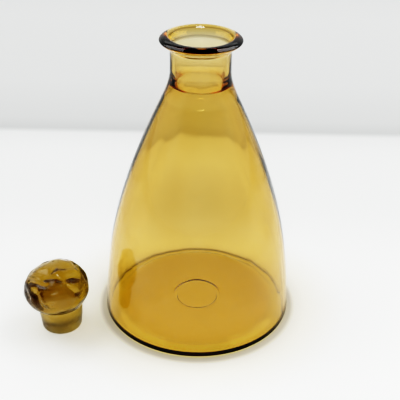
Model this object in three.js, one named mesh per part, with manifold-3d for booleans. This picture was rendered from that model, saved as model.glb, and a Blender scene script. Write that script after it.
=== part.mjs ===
import * as THREE from "three";
import { mergeVertices } from "three/addons/utils/BufferGeometryUtils.js";
import Module from "manifold-3d";

// A blown-glass conical flask with a flared lip, and its loose solid-glass stopper,
// which stands on its plug beside the flask. Millimetres, +Z up. The origin is the
// centre of the flask's base, on the surface that it stands on.

// Flask: outside
const FOOT_INNER_R = 66; // the foot is a flat ring between these two radii
const FOOT_OUTER_R = 71.4;
const HEEL_R = 72.8; // widest radius, just above the foot
const HEEL_Z = 1.6;
const SHOULDER_R = 27.8; // where the convex flank turns into the concave shoulder
const SHOULDER_Z = 176.8;
const NECK_R = 21.65;
const NECK_BOTTOM_Z = 198.3;
const NECK_TOP_Z = 212.4;

// Flask: flared lip, conical underneath and sloping outwards on top
const LIP_R = 29.1;
const LIP_EDGE_Z = 220.1; // height of the widest point
const LIP_UNDER_R = 28.6; // upper end of the conical underside
const LIP_UNDER_Z = 219.2;
const LIP_TOP_Z = 222.8;
const LAND_OUTER_R = 24; // narrow flat land on top of the lip
const LAND_INNER_R = 22.9;

// Flask: inside
const THROAT_R = 20; // crease where the mouth's funnel meets the bore
const THROAT_Z = 215.6;
const BORE_R = 19.3; // top of the bore, a long cone for the ground plug
const BORE_TOP_Z = 213;
const SEAT_R = 17.6; // narrowest radius, the lower end of the bore
const SEAT_Z = 188;
const LEDGE_R = 18.8; // below the seat the inside steps out to this radius
const LEDGE_Z = 187.3;
const WALL_FOOT = 3.2; // wall thickness at the bottom and at the top of the flank
const WALL_SHOULDER = 3.8;
const WALL_BOTTOM = 0.015; // share of the flank's curve where the inner corner begins
const CORNER_R = 67.8; // the inner corner meets the floor here
const CORNER_Z = 2.3;
const FLOOR_R = 54; // the floor is flat inside this radius
const FLOOR_Z = 5.6;
const DISC_R = 18; // a shallow round dip in the middle of the floor
const DISC_FLAT_R = 16.4;
const DISC_Z = 4.9;

// Flask: underside, pushed up inside the foot, with a low round boss at its centre
const PUSH_UP_R = 60;
const PUSH_UP_Z = 1.5;
const MARK_R = 17;
const MARK_FLAT_R = 14.5;
const MARK_Z = 1.1;

// Stopper: a flattened ball on a tapered plug
const STOPPER_X = -104.3;
const STOPPER_Y = -34.5;
const PLUG_TIP_R = 15.1;
const PLUG_TOP_R = 17.4;
const PLUG_LENGTH = 22;
const PLUG_EDGE = 1.2; // rounding at the tip
const BALL_R = 24.6;
const BALL_HALF_HEIGHT = 19.4;
const BALL_Z = 34;
const BALL_OFFSET_X = -2.2; // the ball sits a little off the plug's axis
const BALL_LEAN = THREE.MathUtils.degToRad(-5);

const FLASK_SIDES = 56;
const STOPPER_SIDES = 40;

const point = (r, z) => new THREE.Vector2(r, z);

// Points along a cubic curve in the profile plane, without its first point.
function bend(from, pull1, pull2, to, steps) {
  const curve = new THREE.CubicBezierCurve(from, pull1, pull2, to);
  return curve.getPoints(steps).slice(1);
}

// A solid turned round the Z axis from a profile of (radius, height) points.
function turned(profile, sides) {
  return new THREE.LatheGeometry(profile, sides).rotateX(Math.PI / 2);
}

// The flask's flank from heel to shoulder, which the inside of the wall follows.
const flank = new THREE.CubicBezierCurve(
  point(HEEL_R, HEEL_Z),
  point(68.97, 51.5),
  point(68.62, 88.6),
  point(SHOULDER_R, SHOULDER_Z),
);

// The flank's inner side: the same curve moved in by the wall, which thickens upwards.
function innerFlank(share) {
  const outer = flank.getPoint(share);
  const along = flank.getTangent(share);
  const wall = THREE.MathUtils.lerp(WALL_FOOT, WALL_SHOULDER, share ** 1.3);
  return point(outer.x - along.y * wall, outer.y + along.x * wall);
}

// From the centre of the underside out over the foot and up to the lip's underside.
function outsideProfile() {
  const footInner = point(FOOT_INNER_R, 0);
  const footOuter = point(FOOT_OUTER_R, 0);
  const heel = point(HEEL_R, HEEL_Z);
  const pushUp = point(PUSH_UP_R, PUSH_UP_Z);
  const shoulder = point(SHOULDER_R, SHOULDER_Z);
  const neckBottom = point(NECK_R, NECK_BOTTOM_Z);
  const neckTop = point(NECK_R, NECK_TOP_Z);
  const lipUnder = point(LIP_UNDER_R, LIP_UNDER_Z);
  return [
    point(0, MARK_Z),
    point(MARK_FLAT_R, MARK_Z),
    point(MARK_R, PUSH_UP_Z),
    pushUp,
    ...bend(pushUp, point(PUSH_UP_R + 2, PUSH_UP_Z), point(FOOT_INNER_R - 2, 0), footInner, 4),
    footOuter,
    ...bend(footOuter, point(FOOT_OUTER_R + 0.9, 0), point(HEEL_R, 0.7), heel, 4),
    ...flank.getPoints(13).slice(1),
    ...bend(shoulder, point(23.86, 185.3), point(NECK_R, 192), neckBottom, 6),
    neckTop,
    ...bend(neckTop, point(NECK_R, 214.6), point(26.2, 216.9), lipUnder, 6),
  ];
}

// Round the lip's edge, over its top and down the mouth's funnel to the top of the bore.
function lipProfile() {
  const under = point(LIP_UNDER_R, LIP_UNDER_Z);
  const edge = point(LIP_R, LIP_EDGE_Z);
  const landOuter = point(LAND_OUTER_R, LIP_TOP_Z);
  const landInner = point(LAND_INNER_R, LIP_TOP_Z);
  const throat = point(THROAT_R, THROAT_Z);
  return [
    ...bend(under, point(29, 219.6), point(LIP_R, 219.8), edge, 2),
    ...bend(edge, point(LIP_R, 220.8), point(26.6, 222.6), landOuter, 5),
    landInner,
    ...bend(landInner, point(22.2, 221.7), point(21.1, 218.4), throat, 4),
    point(BORE_R, BORE_TOP_Z),
  ];
}

// From the seat at the end of the bore, out over the ledge and down the wall to the floor.
function insideProfile() {
  const ledge = point(LEDGE_R, LEDGE_Z);
  const wallTop = innerFlank(1);
  const wallSteps = 10;
  const wall = [];
  for (let i = 1; i <= wallSteps; i++) {
    wall.push(innerFlank(THREE.MathUtils.lerp(1, WALL_BOTTOM, i / wallSteps)));
  }
  const wallBottom = wall[wallSteps - 1];
  const corner = point(CORNER_R, CORNER_Z);
  const floorEdge = point(FLOOR_R, FLOOR_Z);
  return [
    point(SEAT_R, SEAT_Z),
    ledge,
    ...bend(ledge, point(19.2, 183.8), point(wallTop.x - 1.2, wallTop.y + 4), wallTop, 6),
    ...wall,
    ...bend(wallBottom, point(wallBottom.x, 3), point(69.4, 2.2), corner, 4),
    ...bend(corner, point(64, 2.6), point(60, FLOOR_Z), floorEdge, 6),
    point(DISC_R, FLOOR_Z),
    point(DISC_FLAT_R, DISC_Z),
    point(0, DISC_Z),
  ];
}

function plugProfile() {
  return [
    point(0, 0),
    point(PLUG_TIP_R - PLUG_EDGE, 0),
    point(PLUG_TIP_R, PLUG_EDGE),
    point(PLUG_TOP_R, PLUG_LENGTH),
    point(0, PLUG_LENGTH),
  ];
}

function ballGeometry() {
  const outline = [];
  const steps = 16;
  for (let i = 0; i <= steps; i++) {
    const angle = THREE.MathUtils.degToRad(-90 + (180 * i) / steps);
    const r = i === 0 || i === steps ? 0 : BALL_R * Math.cos(angle);
    outline.push(point(r, BALL_HALF_HEIGHT * Math.sin(angle)));
  }
  const ball = turned(outline, STOPPER_SIDES);
  return ball.rotateY(BALL_LEAN).translate(BALL_OFFSET_X, 0, BALL_Z);
}

// Booleans: a geometry becomes a solid, and a solid becomes a geometry again.
const wasm = await Module();
wasm.setup();

function solid(geometry) {
  const bare = geometry.clone();
  bare.deleteAttribute("normal");
  bare.deleteAttribute("uv");
  const merged = mergeVertices(bare, 1e-4);
  const vertProperties = new Float32Array(merged.getAttribute("position").array);
  const triVerts = new Uint32Array(merged.index.array);
  return new wasm.Manifold(new wasm.Mesh({ numProp: 3, vertProperties, triVerts }));
}

function geometryOf(manifold) {
  const { vertProperties, triVerts } = manifold.getMesh();
  const geometry = new THREE.BufferGeometry();
  geometry.setAttribute("position", new THREE.BufferAttribute(vertProperties, 3));
  geometry.setIndex(new THREE.BufferAttribute(triVerts, 1));
  geometry.computeVertexNormals();
  return geometry;
}

const amberGlass = { color: 0xc8a03c, roughness: 0.05, metalness: 0 };

const flask = new THREE.Mesh(
  turned([...outsideProfile(), ...lipProfile(), ...insideProfile()], FLASK_SIDES),
  new THREE.MeshStandardMaterial({ ...amberGlass, transparent: true, opacity: 0.45 }),
);
flask.name = "flask_body";

const plug = solid(turned(plugProfile(), STOPPER_SIDES));
const stopper = new THREE.Mesh(
  geometryOf(plug.add(solid(ballGeometry()))),
  new THREE.MeshStandardMaterial({ ...amberGlass, roughness: 0.15 }),
);
stopper.name = "stopper";
stopper.position.set(STOPPER_X, STOPPER_Y, 0);

const model = new THREE.Group();
model.add(flask, stopper);

export default model;
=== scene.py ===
"""An amber blown-glass flask with a flared lip, and its solid-glass ball stopper standing
beside it, in a soft white studio. Metres, +Z up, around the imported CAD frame."""

import math

import bpy
from mathutils import Matrix, Vector, noise


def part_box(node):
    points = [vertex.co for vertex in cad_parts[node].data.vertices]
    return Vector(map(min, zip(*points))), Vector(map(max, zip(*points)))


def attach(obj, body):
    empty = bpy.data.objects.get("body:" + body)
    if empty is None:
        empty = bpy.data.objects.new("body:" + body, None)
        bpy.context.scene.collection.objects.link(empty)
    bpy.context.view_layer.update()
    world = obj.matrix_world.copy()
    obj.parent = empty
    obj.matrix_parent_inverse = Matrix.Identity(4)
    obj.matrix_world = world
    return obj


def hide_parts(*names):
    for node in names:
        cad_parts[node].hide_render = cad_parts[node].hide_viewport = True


MM = 0.001
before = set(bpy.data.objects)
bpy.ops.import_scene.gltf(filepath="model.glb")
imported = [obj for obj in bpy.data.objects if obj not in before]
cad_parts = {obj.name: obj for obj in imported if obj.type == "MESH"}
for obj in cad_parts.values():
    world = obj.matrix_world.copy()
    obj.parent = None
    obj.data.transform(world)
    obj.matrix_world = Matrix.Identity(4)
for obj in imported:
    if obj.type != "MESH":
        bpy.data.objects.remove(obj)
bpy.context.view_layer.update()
scene = bpy.context.scene

# ---------------------------------------------------------------- flask: sizes in mm
FLASK_SIDES = 192

# Outside, from the foot up
MARK_Z = 1.1  # the boss at the centre of the pushed-up base
PUSH_UP_Z = 1.5
FOOT_INNER_R, FOOT_OUTER_R = 66.0, 71.4
HEEL_R, HEEL_Z = 72.8, 1.6
SHOULDER_R, SHOULDER_Z = 27.8, 176.8
FLANK = [(HEEL_R, HEEL_Z), (68.97, 51.5), (68.62, 88.6), (SHOULDER_R, SHOULDER_Z)]
NECK_R, NECK_BOTTOM_Z, NECK_TOP_Z = 21.65, 198.3, 212.4
LIP_UNDER = (28.6, 219.2)
LIP_EDGE = (29.1, 220.1)
LIP_TOP_Z, LAND_OUTER_R, LAND_INNER_R = 222.8, 24.0, 22.9

# Inside, from the mouth down
THROAT = (20.0, 215.6)
BORE_R, BORE_TOP_Z = 19.3, 213.0  # a long cone for the ground plug
SEAT_R, SEAT_Z = 17.6, 188.0
LEDGE_R, LEDGE_Z = 18.8, 187.3
WALL_FOOT, WALL_SHOULDER = 3.2, 3.8  # thickness at the bottom and the top of the flank
WALL_BOTTOM = 0.015  # share of the flank's curve where the inner corner begins
CORNER = (67.8, 2.3)
FLOOR_R, FLOOR_Z = 54.0, 5.6
DISC_Z = 4.9  # a shallow round dip in the middle of the floor


def bezier(points, t):
    """Position and unit tangent on a cubic at t."""
    a, b, c, d = points
    k = ((1 - t) ** 3, 3 * (1 - t) ** 2 * t, 3 * (1 - t) * t * t, t**3)
    m = (3 * (1 - t) ** 2, 6 * (1 - t) * t, 3 * t * t)
    place = [sum(w * p[i] for w, p in zip(k, points)) for i in (0, 1)]
    slope = [m[0] * (b[i] - a[i]) + m[1] * (c[i] - b[i]) + m[2] * (d[i] - c[i]) for i in (0, 1)]
    size = math.hypot(*slope) or 1.0
    return place, [s / size for s in slope]


def bend(a, b, c, d, steps):
    """Points along a cubic, without its first point."""
    return [tuple(bezier([a, b, c, d], i / steps)[0]) for i in range(1, steps + 1)]


def inner_flank(t):
    """The flank moved in by the wall, which thickens upwards."""
    (r, z), (dr, dz) = bezier(FLANK, t)
    wall = WALL_FOOT + (WALL_SHOULDER - WALL_FOOT) * t**1.3
    return (r - dz * wall, z + dr * wall)


def outside_profile():
    """(radius, height) from the centre of the underside, over the foot and up to the lip.

    Points close together beside a step keep the smooth shading right there."""
    mark_edge = [(15.4, MARK_Z), (15.6, 1.12), (15.9, 1.46), (16.1, PUSH_UP_Z), (16.4, PUSH_UP_Z)]
    push_up_edge = (60.0, PUSH_UP_Z)
    foot_inner, foot_outer = (FOOT_INNER_R, 0.0), (FOOT_OUTER_R, 0.0)
    neck_bottom, neck_top = (NECK_R, NECK_BOTTOM_Z), (NECK_R, NECK_TOP_Z)
    land_outer = (LAND_OUTER_R, LIP_TOP_Z)
    points = [(0.0, MARK_Z), *mark_edge, (40.0, PUSH_UP_Z), push_up_edge]
    points += bend(push_up_edge, (62, PUSH_UP_Z), (64, 0), foot_inner, 8)
    points.append(foot_outer)
    points += bend(foot_outer, (72.3, 0), (HEEL_R, 0.7), FLANK[0], 10)
    points += [tuple(bezier(FLANK, i / 64)[0]) for i in range(1, 65)]
    points += bend(FLANK[3], (23.86, 185.3), (NECK_R, 192), neck_bottom, 22)
    points += [(NECK_R, 205.0), neck_top]
    points += bend(neck_top, (NECK_R, 214.6), (26.2, 216.9), LIP_UNDER, 16)
    points += bend(LIP_UNDER, (29, 219.6), (29.1, 219.8), LIP_EDGE, 6)
    points += bend(LIP_EDGE, (29.1, 220.8), (26.6, 222.6), land_outer, 14)
    return points


def inside_profile():
    """(radius, height) from the lip's top, down the mouth, bore and wall to the floor."""
    land_inner = (LAND_INNER_R, LIP_TOP_Z)
    seat, ledge = (SEAT_R, SEAT_Z), (LEDGE_R, LEDGE_Z)
    bore_drop = round(BORE_TOP_Z - SEAT_Z)
    bore_taper = BORE_R - SEAT_R
    top, low = inner_flank(1), inner_flank(WALL_BOTTOM)
    points = [land_inner]
    points += bend(land_inner, (22.2, 221.7), (21.1, 218.4), THROAT, 12)
    points += [(BORE_R - bore_taper * k / bore_drop, BORE_TOP_Z - k) for k in range(bore_drop)]
    points += [(17.605, 188.08), seat, (17.63, 187.98), (18.2, 187.65), (18.77, 187.32), ledge]
    points.append((18.81, 187.2))
    points += bend(ledge, (19.2, 183.8), (top[0] - 1.2, top[1] + 4), top, 14)
    points += [inner_flank(1 + (WALL_BOTTOM - 1) * i / 64) for i in range(1, 65)]
    points += bend(low, (low[0], 3.0), (69.4, 2.2), CORNER, 12)
    points += bend(CORNER, (64, 2.6), (60, FLOOR_Z), (FLOOR_R, FLOOR_Z), 12)
    points += [(40.0, FLOOR_Z), (19.4, FLOOR_Z), (19.2, 5.62), (18.9, 5.74), (18.6, 5.7)]
    points += [(18.2, 5.0), (17.9, DISC_Z), (17.6, DISC_Z), (0.0, DISC_Z)]
    return points


def wall_wave(angle, z):
    """Uneven blown wall in mm: soft upright bands that run from neck to foot."""
    fade = max(0.0, min(1.0, (z - 50) / 70)) * max(0.0, min(1.0, (205 - z) / 30))
    wave = 0.14 * math.cos(5 * angle + 0.6 + 0.004 * z)
    wave += 0.15 * math.cos(9 * angle + 2.1 - 0.006 * z)
    wave += 0.08 * math.cos(14 * angle + 4.0 + 0.003 * z)
    return fade * wave


def linked(name, data):
    """A new object in the scene, for a mesh, light or camera."""
    obj = bpy.data.objects.new(name, data)
    scene.collection.objects.link(obj)
    return obj


def smooth_object(name, verts, faces):
    mesh = bpy.data.meshes.new(name)
    mesh.from_pydata(verts, [], faces)
    mesh.shade_smooth()
    return linked(name, mesh)


def revolve(name, outside, inside, sides):
    """A solid turned from two profiles in mm; only its inner side is uneven."""
    verts, faces, rings = [], [], []
    for is_inside, half in ((False, outside), (True, inside)):
        for r, z in half:
            if r == 0:
                rings.append([len(verts)])
                verts.append((0.0, 0.0, z * MM))
                continue
            ring = []
            for k in range(sides):
                angle = 2 * math.pi * k / sides
                radius = r + (wall_wave(angle, z) if is_inside else 0.0)
                ring.append(len(verts))
                verts.append((radius * MM * math.cos(angle), radius * MM * math.sin(angle), z * MM))
            rings.append(ring)
    for low, high in zip(rings, rings[1:]):
        for k in range(sides):
            n = (k + 1) % sides
            if len(low) == 1:
                faces.append((low[0], high[n], high[k]))
            elif len(high) == 1:
                faces.append((low[k], low[n], high[0]))
            else:
                faces.append((low[k], low[n], high[n], high[k]))
    return smooth_object(name, verts, faces)


# ---------------------------------------------------------------- stopper: sizes in mm
STOPPER_X, STOPPER_Y = -104.3, -34.5
STOPPER_SIDES, BALL_RINGS = 200, 84
PLUG = [(0.0, 0.0), (13.7, 0.0), (14.7, 0.35), (15.1, 1.2), (16.0, 9.5), (16.9, 17.8), (17.05, 18.8)]
BALL_R, BALL_HALF_HEIGHT, BALL_Z = 24.6, 19.4, 34.0
BALL_START = math.radians(-44)  # latitude where the ball grows out of the plug
BALL_SHIFT, BALL_LEAN = -2.2, math.radians(5)

# Tooled relief on the ball: height in mm (minus = groove), half width in mm, and a line of
# (longitude, latitude) degrees. Longitude 0 faces -Y, 90 faces +X.
RELIEF = (
    (-1.5, 2.2, ((-174, 67), (54, 82), (2, 68))),
    (1.2, 6.0, ((126, 74), (118, 58))),
    (0.7, 5.0, ((-69, 72), (-63, 61))),
    (1.3, 2.6, ((16, 64), (59, 56), (87, 39))),
    (-1.7, 2.2, ((-17, 54), (15, 53), (32, 43), (39, 25), (47, 11))),
    (-2.6, 3.0, ((51, 42), (68, 37))),
    (0.9, 1.5, ((-74, 36), (-41, 45), (-11, 43))),
    (-1.1, 1.4, ((-66, 31), (-37, 38), (-14, 36))),
    (0.8, 1.4, ((-80, 45), (-41, 54), (-12, 58))),
    (-2.4, 2.6, ((-31, 18), (-23, 5), (-16, -7))),
    (1.1, 1.8, ((-24, 25), (-18, 16), (-11, 6))),
    (-1.6, 2.4, ((-60, 10), (-50, 6))),
    (-1.3, 2.2, ((113, 42), (100, 32), (91, 13))),
    (0.8, 6.5, ((4, 13), (21, 6))),
    (1.0, 2.4, ((130, 45), (165, 30), (-160, 25))),
    (-1.6, 2.2, ((120, 20), (150, 16), (-175, 5))),
    (-1.2, 1.8, ((-150, 48), (-120, 36), (-95, 22))),
    (0.9, 2.0, ((-140, 15), (-110, 2), (-85, -8))),
)


def facing(longitude, latitude):
    """Unit direction from the ball's centre, for degrees."""
    a, b = math.radians(longitude), math.radians(latitude)
    return Vector((math.cos(b) * math.sin(a), -math.cos(b) * math.cos(a), math.sin(b)))


STROKES = [(height, width, [facing(*place) for place in line]) for height, width, line in RELIEF]


def relief(toward):
    """Height of the tooled relief in mm, for a unit direction from the ball's centre."""
    reach = 0.9  # a stroke is not felt beyond this distance on the unit ball
    ball_mm = 22  # turns a distance on the unit ball into mm
    total = 0.0
    for height, width, line in STROKES:
        nearest = 9.0
        for a, b in zip(line, line[1:]):
            along = b - a
            t = max(0.0, min(1.0, (toward - a).dot(along) / along.length_squared))
            nearest = min(nearest, (toward - (a + along * t).normalized()).length)
        if nearest < reach:
            total += height * math.exp(-((nearest * ball_mm / width) ** 2))
    lumps = noise.noise(toward * 2.3 + Vector((4.1, 0.7, 2.9)))
    return 0.85 * total + 0.9 * lumps


def stopper_mesh(name):
    """Tapered ground plug with a flattened ball, which sits a little off the plug's axis."""
    verts = []
    for r, z in PLUG:
        shift = BALL_SHIFT * max(0.0, (z - 16) / 8)
        for k in range(1 if r == 0 else STOPPER_SIDES):
            a = 2 * math.pi * k / STOPPER_SIDES
            verts.append((r * math.cos(a) + shift, r * math.sin(a), z))
    for i in range(BALL_RINGS + 1):
        b = BALL_START + (math.pi / 2 - BALL_START) * i / BALL_RINGS
        r, height = BALL_R * math.cos(b), BALL_HALF_HEIGHT * math.sin(b)
        fade = min(1.0, i / 10)  # the relief and the lean grow over the first rings
        lean = BALL_LEAN * fade
        for k in range(1 if i == BALL_RINGS else STOPPER_SIDES):
            a = 2 * math.pi * k / STOPPER_SIDES
            shell = Vector((r * math.cos(a), r * math.sin(a), height))
            shell += shell.normalized() * relief(shell.normalized()) * fade
            x = shell.x * math.cos(lean) - shell.z * math.sin(lean)
            z = shell.x * math.sin(lean) + shell.z * math.cos(lean)
            verts.append((x + BALL_SHIFT * (0.55 + 0.45 * fade), shell.y, BALL_Z + z))
    sides = STOPPER_SIDES
    faces = [(0, 1 + (k + 1) % sides, 1 + k) for k in range(sides)]
    bands = len(PLUG) - 1 + BALL_RINGS
    for i in range(bands - 1):
        low, high = 1 + i * sides, 1 + (i + 1) * sides
        for k in range(sides):
            n = (k + 1) % sides
            faces.append((low + k, low + n, high + n, high + k))
    top = 1 + (bands - 1) * sides
    faces += [(top + k, top + (k + 1) % sides, top + sides) for k in range(sides)]
    return smooth_object(name, [tuple(c * MM for c in v) for v in verts], faces)


# ---------------------------------------------------------------- material helpers
class Tree:
    """A node tree with short ways to add and join nodes."""

    def __init__(self, owner):
        owner.use_nodes = True
        self.nodes, self.links = owner.node_tree.nodes, owner.node_tree.links

    def add(self, kind, **values):
        """A new node with constants on its named sockets; spaces in a name are underscores."""
        node = self.nodes.new("ShaderNode" + kind)
        for socket, value in values.items():
            node.inputs[socket.replace("_", " ")].default_value = value
        return node

    def join(self, source, socket):
        self.links.new(source, socket)

    def coords(self, kind="Object"):
        return self.add("TexCoord").outputs[kind]

    def split(self, source):
        node = self.add("SeparateXYZ")
        self.join(source, node.inputs["Vector"])
        return node.outputs

    def math(self, operation, *terms):
        """A Math node; each term is another node's output or a constant."""
        node = self.add("Math")
        node.operation = operation
        for socket, term in zip(node.inputs, terms):
            if isinstance(term, (int, float)):
                socket.default_value = term
            else:
                self.join(term, socket)
        return node.outputs["Value"]

    def remap(self, source, low, high, to_low=0.0, to_high=1.0, smooth=False):
        node = self.add("MapRange", From_Min=low, From_Max=high, To_Min=to_low, To_Max=to_high)
        if smooth:
            node.interpolation_type = "SMOOTHSTEP"
        self.join(source, node.inputs["Value"])
        return node.outputs["Result"]

    def ramp(self, source, stops):
        """A colour ramp over (position, colour) stops."""
        node = self.add("ValToRGB")
        for position, _ in stops[1:-1]:
            node.color_ramp.elements.new(position)
        for element, (position, colour) in zip(node.color_ramp.elements, stops):
            element.position = position
            element.color = (*colour, 1)
        self.join(source, node.inputs["Fac"])
        return node.outputs["Color"]

    def multiplied(self, first, second):
        node = self.nodes.new("ShaderNodeMix")
        node.data_type = "RGBA"
        node.blend_type = "MULTIPLY"
        node.inputs["Factor"].default_value = 1
        self.join(first, node.inputs["A"])
        self.join(second, node.inputs["B"])
        return node.outputs["Result"]


# ---------------------------------------------------------------- glass
GLASS_IOR = 1.5
SMEAR_SCALE = 28  # patches of slightly duller glass
GROUND_ROUGHNESS = 0.18  # added on the ground plug


def glass(name, colour, density, roughness, wave_scale, wave_tilt, wave_depth, ground_below=None):
    """Clear refracting glass that absorbs amber, with faint smears and ripples.

    roughness is a (clean, smeared) pair. The ripple noise is stretched by wave_scale and
    turned by wave_tilt degrees. Below the height ground_below the glass is ground."""
    mat = bpy.data.materials.new(name)
    tree = Tree(mat)
    tree.nodes.clear()
    out = tree.add("OutputMaterial")
    shader = tree.add("BsdfPrincipled", Base_Color=(1, 1, 1, 1), Transmission_Weight=1, IOR=GLASS_IOR)
    volume = tree.add("VolumeAbsorption", Color=(*colour, 1), Density=density)
    coords = tree.coords()

    smear = tree.add("TexNoise", Scale=SMEAR_SCALE, Detail=4)
    tree.join(coords, smear.inputs["Vector"])
    gloss = tree.remap(smear.outputs["Fac"], 0.45, 0.75, *roughness)
    if ground_below is not None:
        height = tree.split(coords)["Z"]
        ground = tree.remap(height, ground_below - MM, ground_below + MM, GROUND_ROUGHNESS, 0.0)
        gloss = tree.math("ADD", gloss, ground)
    tree.join(gloss, shader.inputs["Roughness"])

    tilt = [math.radians(angle) for angle in wave_tilt]
    stretch = tree.add("Mapping", Scale=wave_scale, Rotation=tilt)
    ripple = tree.add("TexNoise", Scale=1, Detail=1)
    bump = tree.add("Bump", Strength=1, Distance=wave_depth)
    tree.join(coords, stretch.inputs["Vector"])
    tree.join(stretch.outputs["Vector"], ripple.inputs["Vector"])
    tree.join(ripple.outputs["Fac"], bump.inputs["Height"])
    tree.join(bump.outputs["Normal"], shader.inputs["Normal"])

    tree.join(shader.outputs["BSDF"], out.inputs["Surface"])
    tree.join(volume.outputs["Volume"], out.inputs["Volume"])
    return mat


# ---------------------------------------------------------------- stage
PAPER_REACH = 6.0
PAPER_GAP = 0.25 * MM  # the paper lies just under the pieces
PAPER_GLOW = 0.5

# Painted shade of the paper along Y, between the ramp's near and far ends: lighter at the front, darker
# behind, and a painted dark dip where a soft crease would shade it.
PAINTED_SHADE_NEAR, PAINTED_SHADE_FAR = -0.30, 0.70
PAINTED_FOLD_SHADE = (
    (0.0, 1.0), (0.22, 1.0), (0.44, 0.78), (0.56, 0.75), (0.60, 0.69),
    (0.612, 0.47), (0.64, 0.53), (0.75, 0.59), (1.0, 0.63),
)
PAPER_TINT = (0.985, 1.0, 0.99)

# Past this distance from the Y axis the paper turns slightly greyer. The edge moves outwards further back.
EDGE_START, EDGE_END, OUTER_GREY = 0.245, 0.30, 0.80
SPREAD_NEAR, SPREAD_FAR, SPREAD = 0.30, 1.30, 0.27

# Soft tinted patches on the paper, where light has come through or round the glass:
# centre, squash, and rings of (radius, colour).
CASTS = (
    # amber light under the flask, with the contact shade round its foot
    ((0.0, -0.0015), (1, 1), (
        (0.0, (0.95, 0.83, 0.24)), (0.069, (0.97, 0.85, 0.30)), (0.0722, (0.50, 0.45, 0.34)),
        (0.0755, (0.52, 0.48, 0.40)), (0.079, (0.84, 0.80, 0.70)), (0.088, (0.95, 0.92, 0.83)),
        (0.120, (1, 1, 1)),
    )),
    # the flask's faint shade behind it
    ((0.0, 0.155), (1.1, 1.0), (
        (0.02, (0.78, 0.77, 0.74)), (0.055, (0.88, 0.87, 0.86)), (0.090, (1, 1, 1)),
    )),
    # the stopper's shade
    ((-0.108, -0.036), (1, 1), (
        (0.012, (0.80, 0.78, 0.72)), (0.03, (0.90, 0.89, 0.86)), (0.055, (1, 1, 1)),
    )),
)


def cast(tree, coords, centre, squash, rings):
    reach = rings[-1][0]
    place = (-centre[0] * squash[0], -centre[1] * squash[1], 0)
    moved = tree.add("Mapping", Location=place, Scale=(*squash, 0))
    distance = tree.add("VectorMath")
    distance.operation = "LENGTH"
    tree.join(coords, moved.inputs["Vector"])
    tree.join(moved.outputs["Vector"], distance.inputs[0])
    share = tree.remap(distance.outputs["Value"], 0.0, reach)
    return tree.ramp(share, [(radius / reach, colour) for radius, colour in rings])


def paper_material(name):
    """Matt white paper, painted lighter at the front and darker behind with a painted shaded dip far back,
    greyer at the sides, and with painted light and shade patches; it glows a little and stays pale.
    """
    mat = bpy.data.materials.new(name)
    tree = Tree(mat)
    shader = tree.nodes["Principled BSDF"]
    coords = tree.coords()
    place = tree.split(coords)

    # painted shade along Y: lighter at the front, darker behind, with a painted dark dip for a crease far
    # back
    painted_shade_stops = [(at, tuple(shade * tint for tint in PAPER_TINT)) for at, shade in PAINTED_FOLD_SHADE]
    colour = tree.ramp(tree.remap(place["Y"], PAINTED_SHADE_NEAR, PAINTED_SHADE_FAR), painted_shade_stops)
    spread = tree.remap(place["Y"], SPREAD_NEAR, SPREAD_FAR, 0.0, SPREAD)
    across = tree.math("SUBTRACT", tree.math("ABSOLUTE", place["X"]), spread)
    # the paper turns greyer away from the Y axis
    edge = tree.remap(across, EDGE_START, EDGE_END, 1.0, OUTER_GREY, smooth=True)
    colour = tree.multiplied(colour, edge)
    for patch in CASTS:
        colour = tree.multiplied(colour, cast(tree, coords, *patch))

    tree.join(colour, shader.inputs["Base Color"])
    tree.join(colour, shader.inputs["Emission Color"])
    shader.inputs["Emission Strength"].default_value = PAPER_GLOW
    shader.inputs["Roughness"].default_value = 0.95
    shader.inputs["Specular IOR Level"].default_value = 0.1
    return mat


def flat_sheet(name, reach, drop):
    verts = [(x * reach, y * reach, -drop) for x, y in ((-1, -1), (1, -1), (1, 1), (-1, 1))]
    mesh = bpy.data.meshes.new(name)
    mesh.from_pydata(verts, [], [(0, 1, 2, 3)])
    return linked(name, mesh)


def soft_box(name, place, size, watts, aim):
    light = bpy.data.lights.new(name, "AREA")
    light.shape = "RECTANGLE"
    light.size, light.size_y = size
    light.energy = watts
    obj = linked(name, light)
    obj.location = place
    obj.rotation_euler = (Vector(aim) - Vector(place)).to_track_quat("-Z", "Y").to_euler()


# ---------------------------------------------------------------- pieces
flask_low, flask_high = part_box("flask_body")
flask_axis = (flask_low + flask_high) / 2
flask = revolve("flask_glass", outside_profile(), inside_profile(), FLASK_SIDES)
flask.location = (flask_axis.x, flask_axis.y, flask_low.z)
flask.data.materials.append(
    glass("amber", (0.863, 0.71, 0.20), 300, (0.0, 0.03), (55, 55, 5), (0, 0, 0), 0.0003)
)

stopper = stopper_mesh("stopper_glass")
stopper.location = (STOPPER_X * MM, STOPPER_Y * MM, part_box("stopper")[0].z)
plug_top = 19.5 * MM
stopper.data.materials.append(
    glass(
        "ground_amber", (0.837, 0.762, 0.44), 160, (0.17, 0.36),
        (50, 50, 330), (0, 28, 0), 0.00035, plug_top,
    )
)

for piece, node, body, slot in (
    (flask, "flask_body", "flask", "amber_glass"),
    (stopper, "stopper", "stopper", "stopper_glass"),
):
    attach(piece, body)
    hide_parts(node)

paper = flat_sheet("paper", PAPER_REACH, PAPER_GAP)
paper.data.materials.append(paper_material("paper"))

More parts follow.
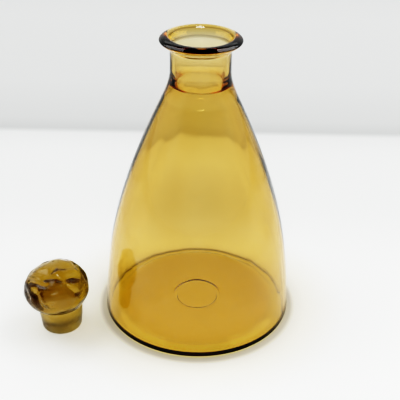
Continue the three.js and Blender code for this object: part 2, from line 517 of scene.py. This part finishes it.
# ---------------------------------------------------------------- lights
soft_box("right_light", (0.9, 0.35, 1.25), (1.0, 1.0), 10, (0, 0, 0.05))
soft_box("left_light", (-0.9, 0.35, 1.25), (1.0, 1.0), 7.5, (0, 0, 0.05))
soft_box("back_light", (0.0, 1.2, 1.3), (1.6, 0.6), 2, (0, 0.3, 0.1))
soft_box("front_lamp", (0.06, -0.95, 0.72), (0.5, 0.12), 2, (0, 0, 0.2))

# The room: bright near the horizon and dark overhead, and bright higher up at the back.
HORIZON_GLOW, CEILING_GLOW = 0.62, 0.01
world = bpy.data.worlds.new("room")
scene.world = world
room = Tree(world)
toward = room.split(room.coords("Generated"))
height = room.math("MULTIPLY_ADD", room.math("MAXIMUM", toward["Y"], 0), -0.4, toward["Z"])
background = room.nodes["Background"]
background.inputs["Color"].default_value = (0.98, 1.0, 0.99, 1)
room.join(
    room.remap(height, 0.20, 0.45, HORIZON_GLOW, CEILING_GLOW, smooth=True),
    background.inputs["Strength"],
)

# ---------------------------------------------------------------- camera and film
CAMERA_PLACE = (0.00122, -0.5648, 0.4242)
CAMERA_DOWN, CAMERA_ROLL = 30.43, 1.03  # degrees

camera_data = bpy.data.cameras.new("camera")
camera_data.lens = 77.56
camera_data.sensor_width = 36
camera_data.clip_start = 0.01
camera = linked("camera", camera_data)
camera.matrix_world = (
    Matrix.Translation(CAMERA_PLACE)
    @ Matrix.Rotation(math.radians(90 - CAMERA_DOWN), 4, "X")
    @ Matrix.Rotation(math.radians(CAMERA_ROLL), 4, "Z")
)
scene.camera = camera

scene.cycles.max_bounces = 24
scene.cycles.transmission_bounces = 24
scene.cycles.transparent_max_bounces = 24
scene.cycles.diffuse_bounces = 8

# Film-like response: a crushed toe and a soft shoulder.
FILM_WHITE = 1.6
FILM = ((0.031, 0.010), (0.0625, 0.05), (0.125, 0.18), (0.25, 0.47), (0.375, 0.69), (0.5, 0.82), (0.7, 0.93))
settings = scene.view_settings
settings.view_transform = "Standard"
settings.use_curve_mapping = True
mapping = settings.curve_mapping
mapping.white_level = (FILM_WHITE, FILM_WHITE, FILM_WHITE)
for x, y in FILM:
    mapping.curves[3].points.new(x, y)
mapping.update()
